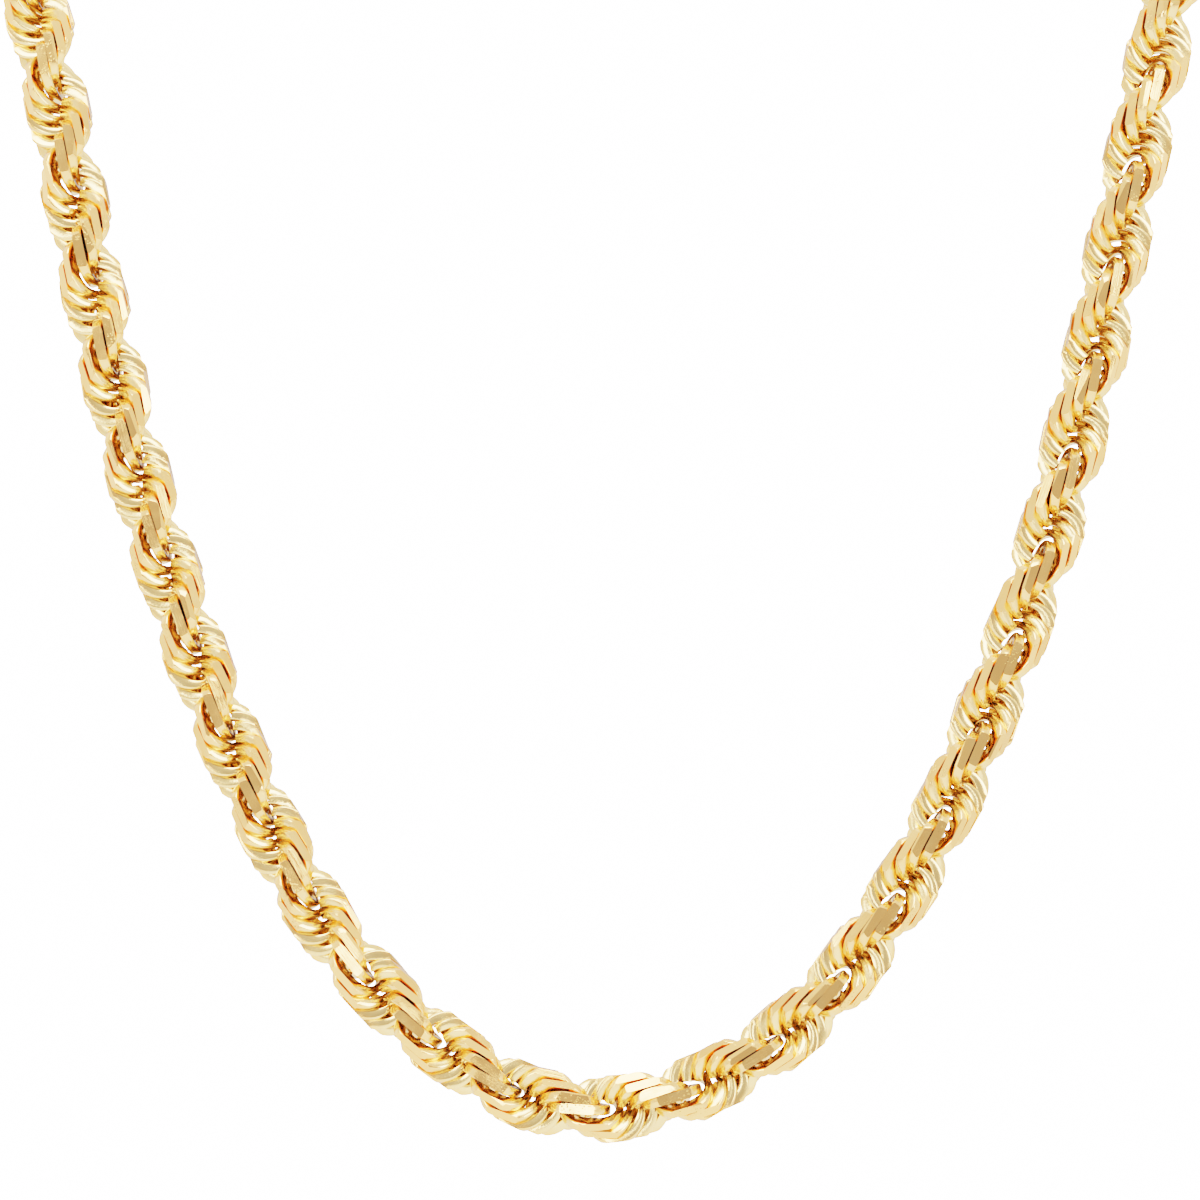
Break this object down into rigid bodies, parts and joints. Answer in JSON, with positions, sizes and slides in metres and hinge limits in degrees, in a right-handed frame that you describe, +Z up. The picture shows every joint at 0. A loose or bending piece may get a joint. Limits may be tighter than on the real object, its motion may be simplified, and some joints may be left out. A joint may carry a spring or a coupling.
{
  "type": "rope chain necklace",
  "caption": "Yellow-gold diamond-cut rope chain hanging as an open loop, with end caps, jump rings and a plain lobster clasp at the nape.",
  "frame": {"origin": "middle of the clasp at the nape of the neck, where the necklace hangs", "axes": "+Z up, the wearer faces -Y, and +X is on the right of the picture"},
  "size_m": [0.1313, 0.1196, 0.1753],
  "materials": {
    "gold_links": "polished yellow gold with bright diamond-cut facets",
    "gold_fittings": "polished yellow gold"
  },
  "bodies": {
    "root": {"rope_left": "gold_links", "rope_right": "gold_links", "cap_left": "gold_fittings", "cap_right": "gold_fittings", "ring_left": "gold_fittings", "ring_right": "gold_fittings", "clasp": "gold_fittings"}
  },
  "joints": []
}
